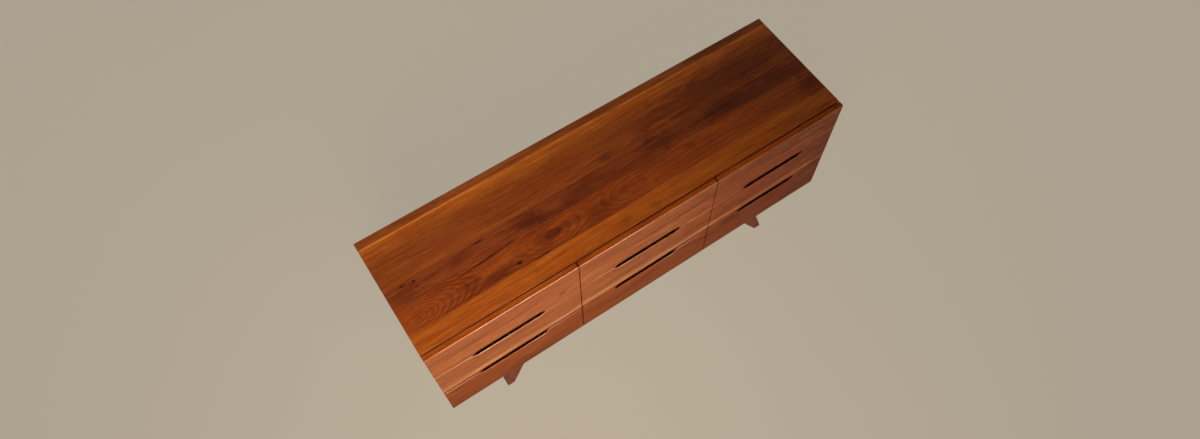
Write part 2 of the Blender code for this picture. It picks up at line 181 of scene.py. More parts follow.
backdropRamp = addNode(worldTree, "ShaderNodeValToRGB", {0: rise.outputs[2]})
fillRamp(backdropRamp, [
    (0.0, hexToLinear(room["backdrop"])), (room["backdropTop"], hexToLinear(room["backdrop"])),
    (room["backdropEnd"], hexToLinear(room["ceiling"]))])
backdrop = addNode(worldTree, "ShaderNodeBackground", {"Color": backdropRamp, "Strength": 1.0})
seen = addNode(worldTree, "ShaderNodeMixShader", {0: seenDirectly(worldTree), 1: roomGlow, 2: backdrop})
addNode(worldTree, "ShaderNodeOutputWorld", {"Surface": seen})

# Floor: matt pale studio floor; what is seen of it directly or mirrored is lifted by an even glow
studioFloor = {
    "size": 90.0, "colour": "#8a7b65", "glow": "#c0b5a2", "glowShare": 0.75, "roughness": 0.9, "gloss": 0.1,
}
floorMesh = bpy.data.meshes.new("floor")
half = studioFloor["size"] / 2
floorCorners = [(-half, -half, 0), (half, -half, 0), (half, half, 0), (-half, half, 0)]
floorMesh.from_pydata(floorCorners, [], [(0, 1, 2, 3)])
floor = bpy.data.objects.new("floor", floorMesh)
scene.collection.objects.link(floor)
floorPaint = bpy.data.materials.new("paleFloor")
floorPaint.use_nodes = True
floorTree = floorPaint.node_tree
floorShader = floorTree.nodes["Principled BSDF"]
floorShader.inputs["Base Color"].default_value = hexToLinear(studioFloor["colour"])
floorShader.inputs["Roughness"].default_value = studioFloor["roughness"]
floorShader.inputs["Specular IOR Level"].default_value = studioFloor["gloss"]
lift = addNode(floorTree, "ShaderNodeMath", {
    "operation": "MULTIPLY", 0: seenDirectly(floorTree), 1: studioFloor["glowShare"]})
glow = addNode(floorTree, "ShaderNodeEmission", {"Color": hexToLinear(studioFloor["glow"]), "Strength": 1.0})
lifted = addNode(floorTree, "ShaderNodeMixShader", {0: lift, 1: floorShader, 2: glow})
floorTree.links.new(lifted.outputs[0], floorTree.nodes["Material Output"].inputs["Surface"])
floorMesh.materials.append(floorPaint)
print("camera, floor and light set")

# Woods. Black walnut under an oil finish: reddish brown with darker late-wood lines, open pores, grey
# mineral patches and a satin sheen. A pale line along the handled edges is partly rubbed wear and partly
# painted highlight.
walnutTint = {
    "lateWood": "#a47a5e",      # what the dark end of a year ring leaves of the tone
    "fibre": "#b8957c",
    "figure": "#c59a7a",
    "streak": "#8e7664",        # grey-brown mineral colour
    "endGrain": "#86664e",
    "knot": "#3a2013",
    "arris": "#e6c0a8",         # pale edge line: partly rubbed wear, partly painted highlight
    "runner": "#c79a62",
}
# Noises drawn out along a board: scale is how many to the metre along, across and through it. Lines of
# figure are about 9 mm wide and 20 cm long, fibres 4 mm wide and 8 cm long, the curl's cross bands, whose
# sheen is painted in as light and dark, about 20 mm apart, and open pores drawn 0.7 mm wide, which is about
# three times the real ones so that they show.
grainNoise = {
    "wander": {"detail": 2.0, "roughness": 0.4, "distortion": 0.0},       # its scale is each wood's own
    "streak": {"detail": 3.0, "roughness": 0.5, "distortion": 0.5},       # and so is this one's
    "figure": {"scale": (5.0, 110.0, 110.0), "detail": 4.0, "roughness": 0.65, "distortion": 0.5},
    "fibre": {"scale": (12.0, 240.0, 240.0), "detail": 4.0, "roughness": 0.7, "distortion": 0.4},
    "pore": {"scale": (60.0, 1400.0, 1400.0), "detail": 1.0, "roughness": 0.5, "distortion": 0.0},
    "tone": {"scale": (3.0, 30.0, 30.0), "detail": 4.0, "roughness": 0.6, "distortion": 0.8},
    "curlSheen": {"scale": (48.0, 14.0, 14.0), "detail": 1.0, "roughness": 0.5, "distortion": 1.2},
}
grainBand = {   # the part of a noise over which its layer comes in
    "figure": (0.35, 0.68), "fibre": (0.3, 0.7), "pore": (0.6, 0.72), "streak": (0.44, 0.70),
    "tone": (0.3, 0.7),
}
boardLay = {
    "heartReach": 4.0,          # metres across, over which hearts may lie
    "pathReach": 0.2,           # metres to the side or below, over which a heart's path may wander
    "boardSeed": 0.37, "woodSeed": 0.113,   # the seed's steps from board to board and wood to wood
    "shift": 40.0,              # metres of noise that the boards are cut from
}
ringShape = {
    "stops": ((0.0, 0.05), (0.4, 0.3), (0.8, 1.0), (1.0, 0.05)),   # pale early wood to the dark late line
    "unevenDetail": 1.0,                                           # years differ in width
    "fadeBand": (0.35, 0.62), "faintest": 0.35,                    # rings are fainter between the streaks
}
patchShape = {
    "scale": (10.0, 45.0, 45.0), "detail": 5.0, "roughness": 0.65, "distortion": 1.2,
    "raggedness": 2.4, "rim": 2.2, "core": 1.4,
}
endShape = {
    "band": (0.75, 0.95),       # how square to the board's length a face is, from side grain to end grain
    "gapBand": (0.2, 0.8), "gapRoughness": 0.5,
    "squareOn": 0.8,            # from this on a face counts as turned up, or as facing the way of the pale edge line
    # band, faintest share and smoothing of the pale edge line, which is partly rubbed wear and partly painted
    # highlight
    "rubAndHighlightBand": (0.35, 0.65), "rubAndHighlightFaintest": 0.25, "rubbedRoughness": -0.24,
}
surface = {
    "ior": 1.45, "fibreBand": (0.25, 0.75),
    "smoothest": 0.05, "roughest": 0.07,        # how far roughness goes under and over the wood's own
    "curlSheenSwing": 0.9, "poreRelief": -0.6, "bump": 0.35, "bumpDepth": 0.15,   # depth in mm
}
runnerShape = {"wallMargin": 0.1, "lineBand": (0.3, 0.7), "lineLevels": (1.05, 0.8)}   # margin in mm


def layBoards(tree, wood):
    # A point's coordinates are put in the order along, across and through the boards. What a board has of
    # its own is kept in the steps of colour ramps that run across all of them.
    place = addNode(tree, "ShaderNodeTexCoord", {})
    split = addNode(tree, "ShaderNodeSeparateXYZ", {0: place.outputs["Object"]})
    order = {"X": split.outputs[0], "Y": split.outputs[1], "Z": split.outputs[2]}
    along, across, through = [order[axis] for axis in wood["axes"]]
    low, high = [edge * mm for edge in wood["span"]]
    share = addNode(tree, "ShaderNodeMapRange", {0: across, 1: low, 2: high, 3: 0.0, 4: 1.0})
    # tones: (upper edge mm, tone, how softly it starts mm)
    tones = []
    start = 0.0
    for edge, tone, soft in wood["tones"]:
        tones.append((start + soft * mm / (high - low), hexToLinear(tone)))
        start = (edge * mm - low) / (high - low)
        tones.append((start, hexToLinear(tone)))
    toneRamp = addNode(tree, "ShaderNodeValToRGB", {0: share})
    fillRamp(toneRamp, tones)
    # boards: (upper edge mm, heart mm across, depth of the heart under the face mm, ring contrast,
    # streaks, curl bands with their sheen painted in)
    hearts = []
    traits = []
    start = 0.0
    for index, (edge, heart, depth, ring, streaky, curlSheen) in enumerate(wood["boards"]):
        seed = (index * boardLay["boardSeed"] + wood["seed"] * boardLay["woodSeed"]) % 1.0
        hearts.append((start, (0.5 + heart * mm / boardLay["heartReach"], depth * mm, seed, 1.0)))
        traits.append((start, (ring, streaky, curlSheen, 1.0)))
        start = (edge * mm - low) / (high - low)
    heartRamp = addNode(tree, "ShaderNodeValToRGB", {0: share})
    fillRamp(heartRamp, hearts, "CONSTANT")
    heart = addNode(tree, "ShaderNodeSeparateColor", {0: heartRamp})
    traitRamp = addNode(tree, "ShaderNodeValToRGB", {0: share})
    fillRamp(traitRamp, traits, "CONSTANT")
    trait = addNode(tree, "ShaderNodeSeparateColor", {0: traitRamp})
    shift = addNode(tree, "ShaderNodeMath", {
        "operation": "MULTIPLY_ADD", 0: heart.outputs[2], 1: boardLay["shift"], 2: along})
    spot = addNode(tree, "ShaderNodeCombineXYZ", {0: shift, 1: across, 2: through})
    return {
        "normal": place.outputs["Normal"], "along": along, "across": across, "through": through,
        "tone": toneRamp.outputs[0], "heart": heart.outputs[0], "depth": heart.outputs[1],
        "ring": trait.outputs[0], "streaky": trait.outputs[1], "curlSheenShown": trait.outputs[2], "spot": spot,
    }


def followPath(tree, wood, board):
    # One board may be cut from where the heart rises and dives, which shows as nested ovals and arches.
    # heartPath: (along, heart mm to the side, heart mm under the face, how strongly the rings show)
    boardLow, boardHigh = wood["pathBoard"]
    inBoard = addNode(tree, "ShaderNodeMath", {
        "operation": "COMPARE", 0: board["across"],
        1: (boardLow + boardHigh) / 2 * mm, 2: (boardHigh - boardLow) / 2 * mm})
    start = wood["heartPath"][0][0]
    end = wood["heartPath"][-1][0]
    reach = boardLay["pathReach"]
    share = addNode(tree, "ShaderNodeMapRange", {
        0: board["along"], 1: start * mm, 2: end * mm, 3: 0.0, 4: 1.0})
    path = addNode(tree, "ShaderNodeValToRGB", {0: share})
    fillRamp(path, [
        ((spotAlong - start) / (end - start), (0.5 + aside * mm / reach, below * mm / reach, shown, 1.0))
        for spotAlong, aside, below, shown in wood["heartPath"]], "B_SPLINE")
    parts = addNode(tree, "ShaderNodeSeparateColor", {0: path})
    aside = addNode(tree, "ShaderNodeMath", {
        "operation": "MULTIPLY_ADD", 0: parts.outputs[0], 1: reach, 2: -reach / 2})
    aside = addNode(tree, "ShaderNodeMath", {"operation": "MULTIPLY", 0: aside, 1: inBoard})
    below = addNode(tree, "ShaderNodeMath", {"operation": "MULTIPLY", 0: parts.outputs[1], 1: reach})
    offBoard = addNode(tree, "ShaderNodeMath", {"operation": "SUBTRACT", 0: 1.0, 1: inBoard})
    shown = addNode(tree, "ShaderNodeMath", {
        "operation": "MULTIPLY_ADD", 0: parts.outputs[2], 1: inBoard, 2: offBoard})
    return inBoard, aside, below, shown


def yearRings(tree, wood, board, noises):
    # Rings by their distance from a heart line that wanders. They run right through the piece, so faces,
    # edges and end grain agree.
    centred = addNode(tree, "ShaderNodeVectorMath", {
        "operation": "SUBTRACT", 0: noises["wander"].outputs["Color"], 1: (0.5, 0.5, 0.5)})
    drift = addNode(tree, "ShaderNodeVectorMath", {"operation": "MULTIPLY", 0: centred, 1: wood["wander"]})
    reach = boardLay["heartReach"]
    heartLine = addNode(tree, "ShaderNodeMath", {
        "operation": "MULTIPLY_ADD", 0: board["heart"], 1: reach, 2: -reach / 2})
    offAxis = addNode(tree, "ShaderNodeMath", {"operation": "SUBTRACT", 0: board["across"], 1: heartLine})
    sunk = addNode(tree, "ShaderNodeMath", {"operation": "ADD", 0: board["depth"], 1: -wood["face"] * mm})
    offFace = addNode(tree, "ShaderNodeMath", {"operation": "ADD", 0: board["through"], 1: sunk})
    if "heartPath" in wood:
        inBoard, aside, below, pathShown = followPath(tree, wood, board)
        offAxis = addNode(tree, "ShaderNodeMath", {"operation": "SUBTRACT", 0: offAxis, 1: aside})
        offFace = addNode(tree, "ShaderNodeMath", {
            "operation": "MULTIPLY_ADD", 0: below, 1: inBoard, 2: offFace})
    radial = addNode(tree, "ShaderNodeCombineXYZ", {0: 0.0, 1: offAxis, 2: offFace})
    moved = addNode(tree, "ShaderNodeVectorMath", {"operation": "ADD", 0: radial, 1: drift})
    flat = addNode(tree, "ShaderNodeVectorMath", {"operation": "MULTIPLY", 0: moved, 1: (0.0, 1.0, 1.0)})
    radius = addNode(tree, "ShaderNodeVectorMath", {"operation": "LENGTH", 0: flat}).outputs["Value"]
    uneven = addNode(tree, "ShaderNodeTexNoise", {
        "noise_dimensions": "1D", "W": radius, "Scale": wood["unevenScale"],
        "Detail": ringShape["unevenDetail"]})
    rings = addNode(tree, "ShaderNodeMath", {
        "operation": "MULTIPLY_ADD", 0: radius, 1: 1 / (wood["ringWidth"] * mm), 2: uneven})
    year = addNode(tree, "ShaderNodeMath", {"operation": "FRACT", 0: rings})
    ringRamp = addNode(tree, "ShaderNodeValToRGB", {0: year})
    fillRamp(ringRamp, [(place, (dark, dark, dark, 1.0)) for place, dark in ringShape["stops"]])
    fadeLow, fadeHigh = ringShape["fadeBand"]
    fade = addNode(tree, "ShaderNodeMapRange", {
        0: noises["streak"], 1: fadeLow, 2: fadeHigh, 3: ringShape["faintest"], 4: 1.0})
    shown = addNode(tree, "ShaderNodeMath", {"operation": "MULTIPLY", 0: ringRamp, 1: fade})
    if "heartPath" in wood:
        shown = addNode(tree, "ShaderNodeMath", {"operation": "MULTIPLY", 0: shown, 1: pathShown})
    return addNode(tree, "ShaderNodeMath", {"operation": "MULTIPLY", 0: shown, 1: board["ring"]})


def layPatches(tree, wood, board):
    # patches and knots are ragged ovals of another colour: (along, across, half length, half width in mm,
    # strength, tint, and where it lies aslant its tilt in degrees)
    cloudSpot = addNode(tree, "ShaderNodeVectorMath", {
        "operation": "MULTIPLY", 0: board["spot"], 1: patchShape["scale"]})
    cloud = addNode(tree, "ShaderNodeTexNoise", {
        0: cloudSpot, "Scale": 1.0, "Detail": patchShape["detail"], "Roughness": patchShape["roughness"],
        "Distortion": patchShape["distortion"]})
    facePoint = addNode(tree, "ShaderNodeCombineXYZ", {0: board["along"], 1: board["across"], 2: 0.0})
    layers = []
    for along, across, halfLength, halfWidth, strength, tint, *tilt in wood["patches"]:
        nearPatch = addNode(tree, "ShaderNodeMapping", {
            "vector_type": "TEXTURE", 0: facePoint, 1: (along * mm, across * mm, 0.0),
            2: (0.0, 0.0, math.radians(sum(tilt))), 3: (halfLength * mm, halfWidth * mm, 1.0)})
        fromPatch = addNode(tree, "ShaderNodeVectorMath", {"operation": "LENGTH", 0: nearPatch})
        ragged = addNode(tree, "ShaderNodeMath", {
            "operation": "MULTIPLY_ADD",
            0: cloud, 1: patchShape["raggedness"], 2: fromPatch.outputs["Value"]})
        amount = addNode(tree, "ShaderNodeMapRange", {
            "interpolation_type": "SMOOTHSTEP", 0: ragged, 1: patchShape["rim"], 2: patchShape["core"],
            3: 0.0, 4: strength})
        layers.append((amount, tint))
    return layers


def gapShadeLayers(tree, wood, board, endSize):
    # edges that face each other across the narrow gaps get painted shade and are made rougher, and a thin
    # painted shadow line lies on the upper faces beside each gap between columns
    offMiddle = addNode(tree, "ShaderNodeMath", {"operation": "ABSOLUTE", 0: board["along"]})
    between = addNode(tree, "ShaderNodeMath", {
        "operation": "LESS_THAN", 0: offMiddle, 1: wood["gapReach"] * mm})
    gapLow, gapHigh = endShape["gapBand"]
    gapShadeAmount = addNode(tree, "ShaderNodeMapRange", {0: endSize, 1: gapLow, 2: gapHigh, 3: 0.0, 4: between})
    facing = addNode(tree, "ShaderNodeVectorMath", {
        "operation": "DOT_PRODUCT", 0: board["normal"], 1: (0.0, 0.0, 1.0)})
    upper = addNode(tree, "ShaderNodeMath", {
        "operation": "GREATER_THAN", 0: facing.outputs["Value"], 1: endShape["squareOn"]})
    besideGap = addNode(tree, "ShaderNodeMath", {
        "operation": "COMPARE", 0: offMiddle, 1: wood["gapAt"] * mm, 2: wood["gapShadowLine"] * mm})
    gapShadowLine = addNode(tree, "ShaderNodeMath", {"operation": "MULTIPLY", 0: upper, 1: besideGap})
    return gapShadeAmount, [(gapShadeAmount, wood["gapShadeTint"]), (gapShadowLine, wood["gapShadowLineTint"])]


def paintRunners(tree, wood, board, figure, colour):
    # Runner strips are a second, paler wood: all that stands proud of the walls. walls, in mm: (how far a
    # wall is from the dresser's middle, its thickness, and the least and most that its strips are from it)
    far = addNode(tree, "ShaderNodeMath", {"operation": "ABSOLUTE", 0: board["through"]})
    proud = None
    for middle, thickness, nearest, farthest in wood["walls"]:
        offWall = addNode(tree, "ShaderNodeMath", {"operation": "SUBTRACT", 0: far, 1: middle * mm})
        offSize = addNode(tree, "ShaderNodeMath", {"operation": "ABSOLUTE", 0: offWall})
        outside = addNode(tree, "ShaderNodeMath", {
            "operation": "GREATER_THAN", 0: offSize, 1: (thickness / 2 + runnerShape["wallMargin"]) * mm})
        closeBy = addNode(tree, "ShaderNodeMath", {
            "operation": "COMPARE", 0: far,
            1: (nearest + farthest) / 2 * mm, 2: (farthest - nearest) / 2 * mm})
        both = addNode(tree, "ShaderNodeMath", {"operation": "MULTIPLY", 0: outside, 1: closeBy})
        if proud is None:
            proud = both
        else:
            proud = addNode(tree, "ShaderNodeMath", {"operation": "MAXIMUM", 0: proud, 1: both})
    lineLow, lineHigh = runnerShape["lineBand"]
    pale, dark = runnerShape["lineLevels"]
    lineLevel = addNode(tree, "ShaderNodeMapRange", {0: figure, 1: lineLow, 2: lineHigh, 3: pale, 4: dark})
    runnerColour = addNode(tree, "ShaderNodeVectorMath", {
        "operation": "SCALE", 0: hexToLinear(walnutTint["runner"])[:3], "Scale": lineLevel})
    painted = addNode(tree, "ShaderNodeMix", {"data_type": "RGBA", 0: proud, 6: colour, 7: runnerColour})
    return painted.outputs[2]


def rubArrisAndPaintHighlight(tree, wood, board, streak, colour, roughness):
    # edges that hands and cloths reach are told by the way they face: rubbed smooth, with a pale line
    # that is partly rubbed wear and partly painted highlight, fading towards the right where less light falls
    facing = addNode(tree, "ShaderNodeVectorMath", {
        "operation": "DOT_PRODUCT", 0: board["normal"], 1: wood["rubbedAndHighlitFacing"]})
    turned = addNode(tree, "ShaderNodeMath", {
        "operation": "GREATER_THAN", 0: facing.outputs["Value"], 1: endShape["squareOn"]})
    rubLow, rubHigh = endShape["rubAndHighlightBand"]
    uneven = addNode(tree, "ShaderNodeMapRange", {
        0: streak, 1: rubLow, 2: rubHigh, 3: 0.0, 4: wood["rubAndHighlightStrength"]})
    # the painted highlight fades along the board towards the right, away from the light
    fadeStart, fadeEnd = wood["rubAndHighlightFade"]
    fade = addNode(tree, "ShaderNodeMapRange", {
        0: board["along"], 1: fadeStart * mm, 2: fadeEnd * mm, 3: 1.0, 4: endShape["rubAndHighlightFaintest"]})
    rubAndHighlightHere = addNode(tree, "ShaderNodeMath", {"operation": "MULTIPLY", 0: uneven, 1: fade})
    amount = addNode(tree, "ShaderNodeMath", {"operation": "MULTIPLY", 0: turned, 1: rubAndHighlightHere})
    pale = addNode(tree, "ShaderNodeMix", {
        "data_type": "RGBA", 0: amount, 6: colour, 7: hexToLinear(walnutTint["arris"])})
    smoother = addNode(tree, "ShaderNodeMath", {
        "operation": "MULTIPLY", 0: turned, 1: endShape["rubbedRoughness"]})
    return pale.outputs[2], addNode(tree, "ShaderNodeMath", {"operation": "ADD", 0: roughness, 1: smoother})


def makeBoardWood(name, wood):
    # solid wood cut from boards: its layers are laid one over the other, each by its own amount
    material = bpy.data.materials.new(name)
    material.use_nodes = True
    tree = material.node_tree
    shader = tree.nodes["Principled BSDF"]
    board = layBoards(tree, wood)
    noises = {}
    for label, noise in grainNoise.items():
        scale = noise["scale"] if "scale" in noise else wood[label + "Scale"]
        drawnOut = addNode(tree, "ShaderNodeVectorMath", {
            "operation": "MULTIPLY", 0: board["spot"], 1: scale})
        noises[label] = addNode(tree, "ShaderNodeTexNoise", {
            0: drawnOut, "Scale": 1.0, "Detail": noise["detail"], "Roughness": noise["roughness"],
            "Distortion": noise["distortion"]})
    amounts = {}
    for label, most in (("figure", wood["figureStrength"]), ("fibre", wood["fibreStrength"]), ("pore", 1.0)):
        low, high = grainBand[label]
        amounts[label] = addNode(tree, "ShaderNodeMapRange", {
            0: noises[label], 1: low, 2: high, 3: 0.0, 4: most})
    low, high = grainBand["streak"]
    streak = addNode(tree, "ShaderNodeMapRange", {
        "interpolation_type": "SMOOTHSTEP", 0: noises["streak"], 1: low, 2: high, 3: 0.0, 4: 1.0})
    streakAmount = addNode(tree, "ShaderNodeMath", {"operation": "MULTIPLY", 0: streak, 1: board["streaky"]})
    poreAmount = addNode(tree, "ShaderNodeMath", {
        "operation": "MULTIPLY", 0: amounts["pore"], 1: wood["poreStrength"]})
    layers = [
        (amounts["figure"], "figure"), (yearRings(tree, wood, board, noises), "lateWood"),
        (amounts["fibre"], "fibre"), (streakAmount, "streak"), (poreAmount, "streak"),
    ]
    if "patches" in wood:
        layers += layPatches(tree, wood, board)
    # end grain drinks more oil and goes darker
    endAxis = {"X": (1.0, 0.0, 0.0), "Y": (0.0, 1.0, 0.0), "Z": (0.0, 0.0, 1.0)}[wood["axes"][0]]
    endFacing = addNode(tree, "ShaderNodeVectorMath", {
        "operation": "DOT_PRODUCT", 0: board["normal"], 1: endAxis})
    endSize = addNode(tree, "ShaderNodeMath", {"operation": "ABSOLUTE", 0: endFacing.outputs["Value"]})
    low, high = endShape["band"]
    endAmount = addNode(tree, "ShaderNodeMapRange", {0: endSize, 1: low, 2: high, 3: 0.0, 4: 1.0})
    layers.append((endAmount, wood["endTint"]))
    low, high = surface["fibreBand"]
    roughness = addNode(tree, "ShaderNodeMapRange", {
        0: noises["fibre"], 1: low, 2: high,
        3: wood["roughness"] - surface["smoothest"], 4: wood["roughness"] + surface["roughest"]})
    # painted shade on ends that face across the gaps, and a painted shadow line beside each column gap
    if "gapShadeTint" in wood:
        gapShadeAmount, inGaps = gapShadeLayers(tree, wood, board, endSize)
        layers += inGaps
        roughness = addNode(tree, "ShaderNodeMath", {
            "operation": "MULTIPLY_ADD", 0: gapShadeAmount, 1: endShape["gapRoughness"], 2: roughness})
    colour = board["tone"]
    for amount, tint in layers:
        laid = addNode(tree, "ShaderNodeMix", {
            "data_type": "RGBA", "blend_type": "MULTIPLY",
            0: amount, 6: colour, 7: hexToLinear(walnutTint.get(tint, tint))})
        colour = laid.outputs[2]

    # slow changes of tone along a board, and the curl's cross bands across it, whose sheen is painted in as
    # light and dark
    low, high = grainBand["tone"]
    toneLevel = addNode(tree, "ShaderNodeMapRange", {
        0: noises["tone"], 1: low, 2: high, 3: 1.0 + wood["toneSwing"], 4: 1.0 - wood["toneSwing"]})
    swing = surface["curlSheenSwing"]
    curlSheen = addNode(tree, "ShaderNodeMath", {
        "operation": "MULTIPLY_ADD", 0: noises["curlSheen"], 1: swing, 2: -swing / 2})
    curlSheenAmount = addNode(tree, "ShaderNodeMath", {"operation": "MULTIPLY", 0: curlSheen, 1: board["curlSheenShown"]})
    level = addNode(tree, "ShaderNodeMath", {"operation": "ADD", 0: toneLevel, 1: curlSheenAmount})
    levelled = addNode(tree, "ShaderNodeVectorMath", {"operation": "SCALE", 0: colour, "Scale": level})
    colour = levelled.outputs[0]
    if "walls" in wood:
        colour = paintRunners(tree, wood, board, noises["figure"], colour)
    # pale edge line: rubbed wear and painted highlight
    if "rubbedAndHighlitFacing" in wood:
        colour, roughness = rubArrisAndPaintHighlight(tree, wood, board, noises["streak"], colour, roughness)
    tree.links.new(colour, shader.inputs["Base Color"])
    tree.links.new(roughness.outputs[0], shader.inputs["Roughness"])
    shader.inputs["IOR"].default_value = surface["ior"]
    shader.inputs["Specular IOR Level"].default_value = wood["gloss"]
    relief = addNode(tree, "ShaderNodeMath", {
        "operation": "MULTIPLY_ADD", 0: amounts["pore"], 1: surface["poreRelief"], 2: noises["fibre"]})
    bump = addNode(tree, "ShaderNodeBump", {
        "Strength": surface["bump"], "Distance": surface["bumpDepth"] * mm, "Height": relief})
    tree.links.new(bump.outputs[0], shader.inputs["Normal"])
    return material


walnutGrain = {
    "wanderScale": (1.6, 6.0, 6.0), "wander": (0.0, 0.030, 0.060), "ringWidth": 6.5, "unevenScale": 70.0,
    "figureStrength": 0.8, "fibreStrength": 0.75, "poreStrength": 0.5, "streakScale": (2.6, 16.0, 16.0),
    "toneSwing": 0.08, "roughness": 0.40, "gloss": 0.3, "endTint": "endGrain",
}
# The top: six boards glued edge to edge; Y runs from the front edge back.
topWood = dict(
    walnutGrain, axes="XYZ", face=770, span=(-230, 254), seed=2, toneSwing=0.09, ringWidth=8.5,
    unevenScale=40.0, wander=(0.0, 0.030, 0.030),
    tones=[
        # the first, very dark tone lies on the top's front face and front arris: painted shade for the gap
        # between the top and the fronts
        (-227, "#54260f", 0), (-200, "#9c5414", 0.4), (-150.5, "#a25a18", 30), (-42.5, "#8c4616", 0.6),
        (31.5, "#7e3f1a", 0.6), (133.5, "#8a4819", 0.6), (150, "#924e1a", 0.6), (208, "#ae621e", 50),
        (220.5, "#c87c2c", 6), (254, "#945223", 0.6),
    ],
    boards=[
        (-150.5, -1500, 60, 0.45, 0.05, 0.16),
        (-42.5, -96, 0, 0.95, 0.25, 0.30),
        (31.5, -300, 70, 0.45, 0.35, 0.20),
        (133.5, 700, 90, 0.20, 0.10, 0.12),
        (220.5, 1700, 60, 0.28, 0.08, 0.14),
        (254, 160, 60, 0.25, 0.20, 0.10),
    ],
    pathBoard=(-150.5, -42.5),
    heartPath=[
        (-900, -14, 8, 1.0), (-845, -16, 2, 1.0), (-770, -14, 36, 1.0), (-690, -6, 62, 1.0),
        (-600, -2, 88, 0.8), (-520, 0, 92, 0.6), (-430, 4, 84, 0.5), (-350, 4, 62, 0.6), (-280, 0, 54, 0.6),
        (-210, 2, 74, 0.6), (-130, 4, 84, 0.8), (-50, 0, 60, 0.7), (30, -2, 44, 0.4), (160, 0, 60, 0.3),
        (300, 4, 48, 0.3), (450, 0, 66, 0.3), (640, -6, 44, 0.4), (900, 0, 60, 0.3),
    ],
    patches=[
        (-825, 21, 14, 4, 0.9, "knot"), (-783, 15, 9, 7, 0.9, "knot"), (-782, -9, 16, 6, 0.8, "knot"),
        (-768, -24, 8, 6, 0.6, "knot"), (-533, 22, 26, 5, 0.8, "knot"), (-455, -126, 14, 8, 0.85, "knot"),
        (-560, -52, 110, 5, 0.85, "knot", 4), (-450, -44, 70, 4.5, 0.85, "knot", 6),
        (-370, -148, 60, 4, 0.8, "knot"), (-180, -149, 200, 3, 0.7, "knot"),
        (-700, -146, 170, 8, 0.4, "streak", 3), (-350, -4, 120, 50, 0.6, "streak", -12),
        (-150, -12, 120, 40, 0.45, "streak", 8), (215, -2, 110, 44, 0.6, "streak", -6),
        (520, -12, 260, 44, 0.42, "streak"), (-830, -6, 80, 44, 0.4, "streak"),
        (-620, -4, 70, 30, 0.35, "streak", 14), (-640, -105, 60, 24, 0.6, "#9a6a56"),
        (-540, -126, 130, 24, 0.45, "streak", 6), (-310, -98, 80, 44, 0.55, "streak"),
        (-120, -110, 100, 50, 0.3, "streak"), (20, 62, 50, 24, 0.5, "streak"),
        (305, -78, 30, 20, 0.4, "streak"), (850, -100, 70, 60, 0.6, "streak"),
        # the two broad #a08c7c patches darken most of the right half of the top and its right back
        (600, 95, 620, 120, 0.6, "#a08c7c"), (640, 240, 330, 30, 0.5, "#a08c7c"),
        (-690, 240, 160, 12, 0.3, "streak"), (-60, -190, 24, 22, 0.3, "streak"),
        (-420, -182, 20, 24, 0.25, "streak"), (60, -200, 30, 16, 0.3, "streak"),
    ])
# The fronts: three boards that run across all nine, Z from the floor up. Gap sizes are in mm: ends
# nearer the dresser's middle than gapReach get painted shade, and the gaps between columns lie at gapAt, each
# with a painted shadow line beside it.
frontWood = dict(
    walnutGrain, axes="XZY", face=-253.5, span=(200, 770), seed=5, gloss=0.04,
    tones=[
        (320, "#86481e", 0), (412, "#8c4c24", 60), (434, "#b48256", 3), (600, "#925a34", 20),
        (672, "#985e38", 20), (768.5, "#8e5734", 3), (770, "#984e16", 0),
    ],
    boards=[
        (415, 700, 50, 0.30, 0.30, 0.15),
        (672, 1500, 150, 0.22, 0.12, 0.20),
        (770, 1900, 90, 0.30, 0.20, 0.08),
    ],
    patches=[
        (-372, 642, 24, 12, 0.75, "knot"), (-360, 660, 60, 26, 0.35, "streak"),
        (400, 372, 70, 34, 0.6, "streak"), (120, 684, 300, 14, 0.5, "streak"),
        # the broad patches at 570 and 860 mm along, tinted #dca468 and #c09470, are painted shade: they
        # darken the right part of the fronts, where less light falls
        (-700, 690, 200, 14, 0.3, "streak"), (570, 500, 560, 340, 0.65, "#dca468"),
        (560, 735, 480, 40, 0.4, "#b89a80"), (860, 520, 150, 330, 0.5, "#c09470"),
    ],
    # the pale upper edge line: partly rubbed wear, partly painted highlight fading towards the right
    rubbedAndHighlitFacing=(0.0, -0.7071, 0.7071), rubAndHighlightStrength=0.26, rubAndHighlightFade=(100, 600),
    # painted gap shade on the facing ends, and the tint and width of the painted shadow line beside each
    # column gap
    gapShadeTint="#d8c4b4", gapShadowLineTint="#4a2418", gapReach=800, gapAt=296.667, gapShadowLine=3.0)
# The case's sides and dividers, with the runners on their inner faces
caseWood = dict(
    walnutGrain, axes="ZYX", face=890, span=(-231, 254), seed=7,
    tones=[(-120, "#84401a", 0), (10, "#8c481e", 0.6), (140, "#7a3a18", 0.6), (254, "#884420", 0.6)],
    boards=[
        (-120, -170, 60, 0.35, 0.2, 0.1), (10, -60, 30, 0.5, 0.3, 0.15),
        (140, 300, 80, 0.3, 0.2, 0.1), (254, 200, 40, 0.4, 0.3, 0.1),
    ],
    walls=[(879.0, 22.0, 600, 900), (296.667, 20.0, 200, 400)])
floorWood = dict(   # the case's bottom panel
    walnutGrain, axes="XYZ", face=200, span=(-231, 254), seed=9,
    tones=[(-90, "#7c3c18", 0), (70, "#703616", 0.6), (254, "#7a3c1a", 0.6)],
    boards=[(-90, -170, 60, 0.35, 0.2, 0.1), (70, 0, 30, 0.5, 0.3, 0.1), (254, 400, 80, 0.3, 0.2, 0.1)])
backWood = dict(
    walnutGrain, axes="XZY", face=249.5, span=(200, 770), seed=11,
    tones=[(390, "#7a3c1a", 0), (580, "#84441e", 0.6), (770, "#763a18", 0.6)],
    boards=[(390, 250, 60, 0.4, 0.2, 0.1), (580, 480, 40, 0.5, 0.2, 0.1), (770, 900, 80, 0.3, 0.2, 0.1)])
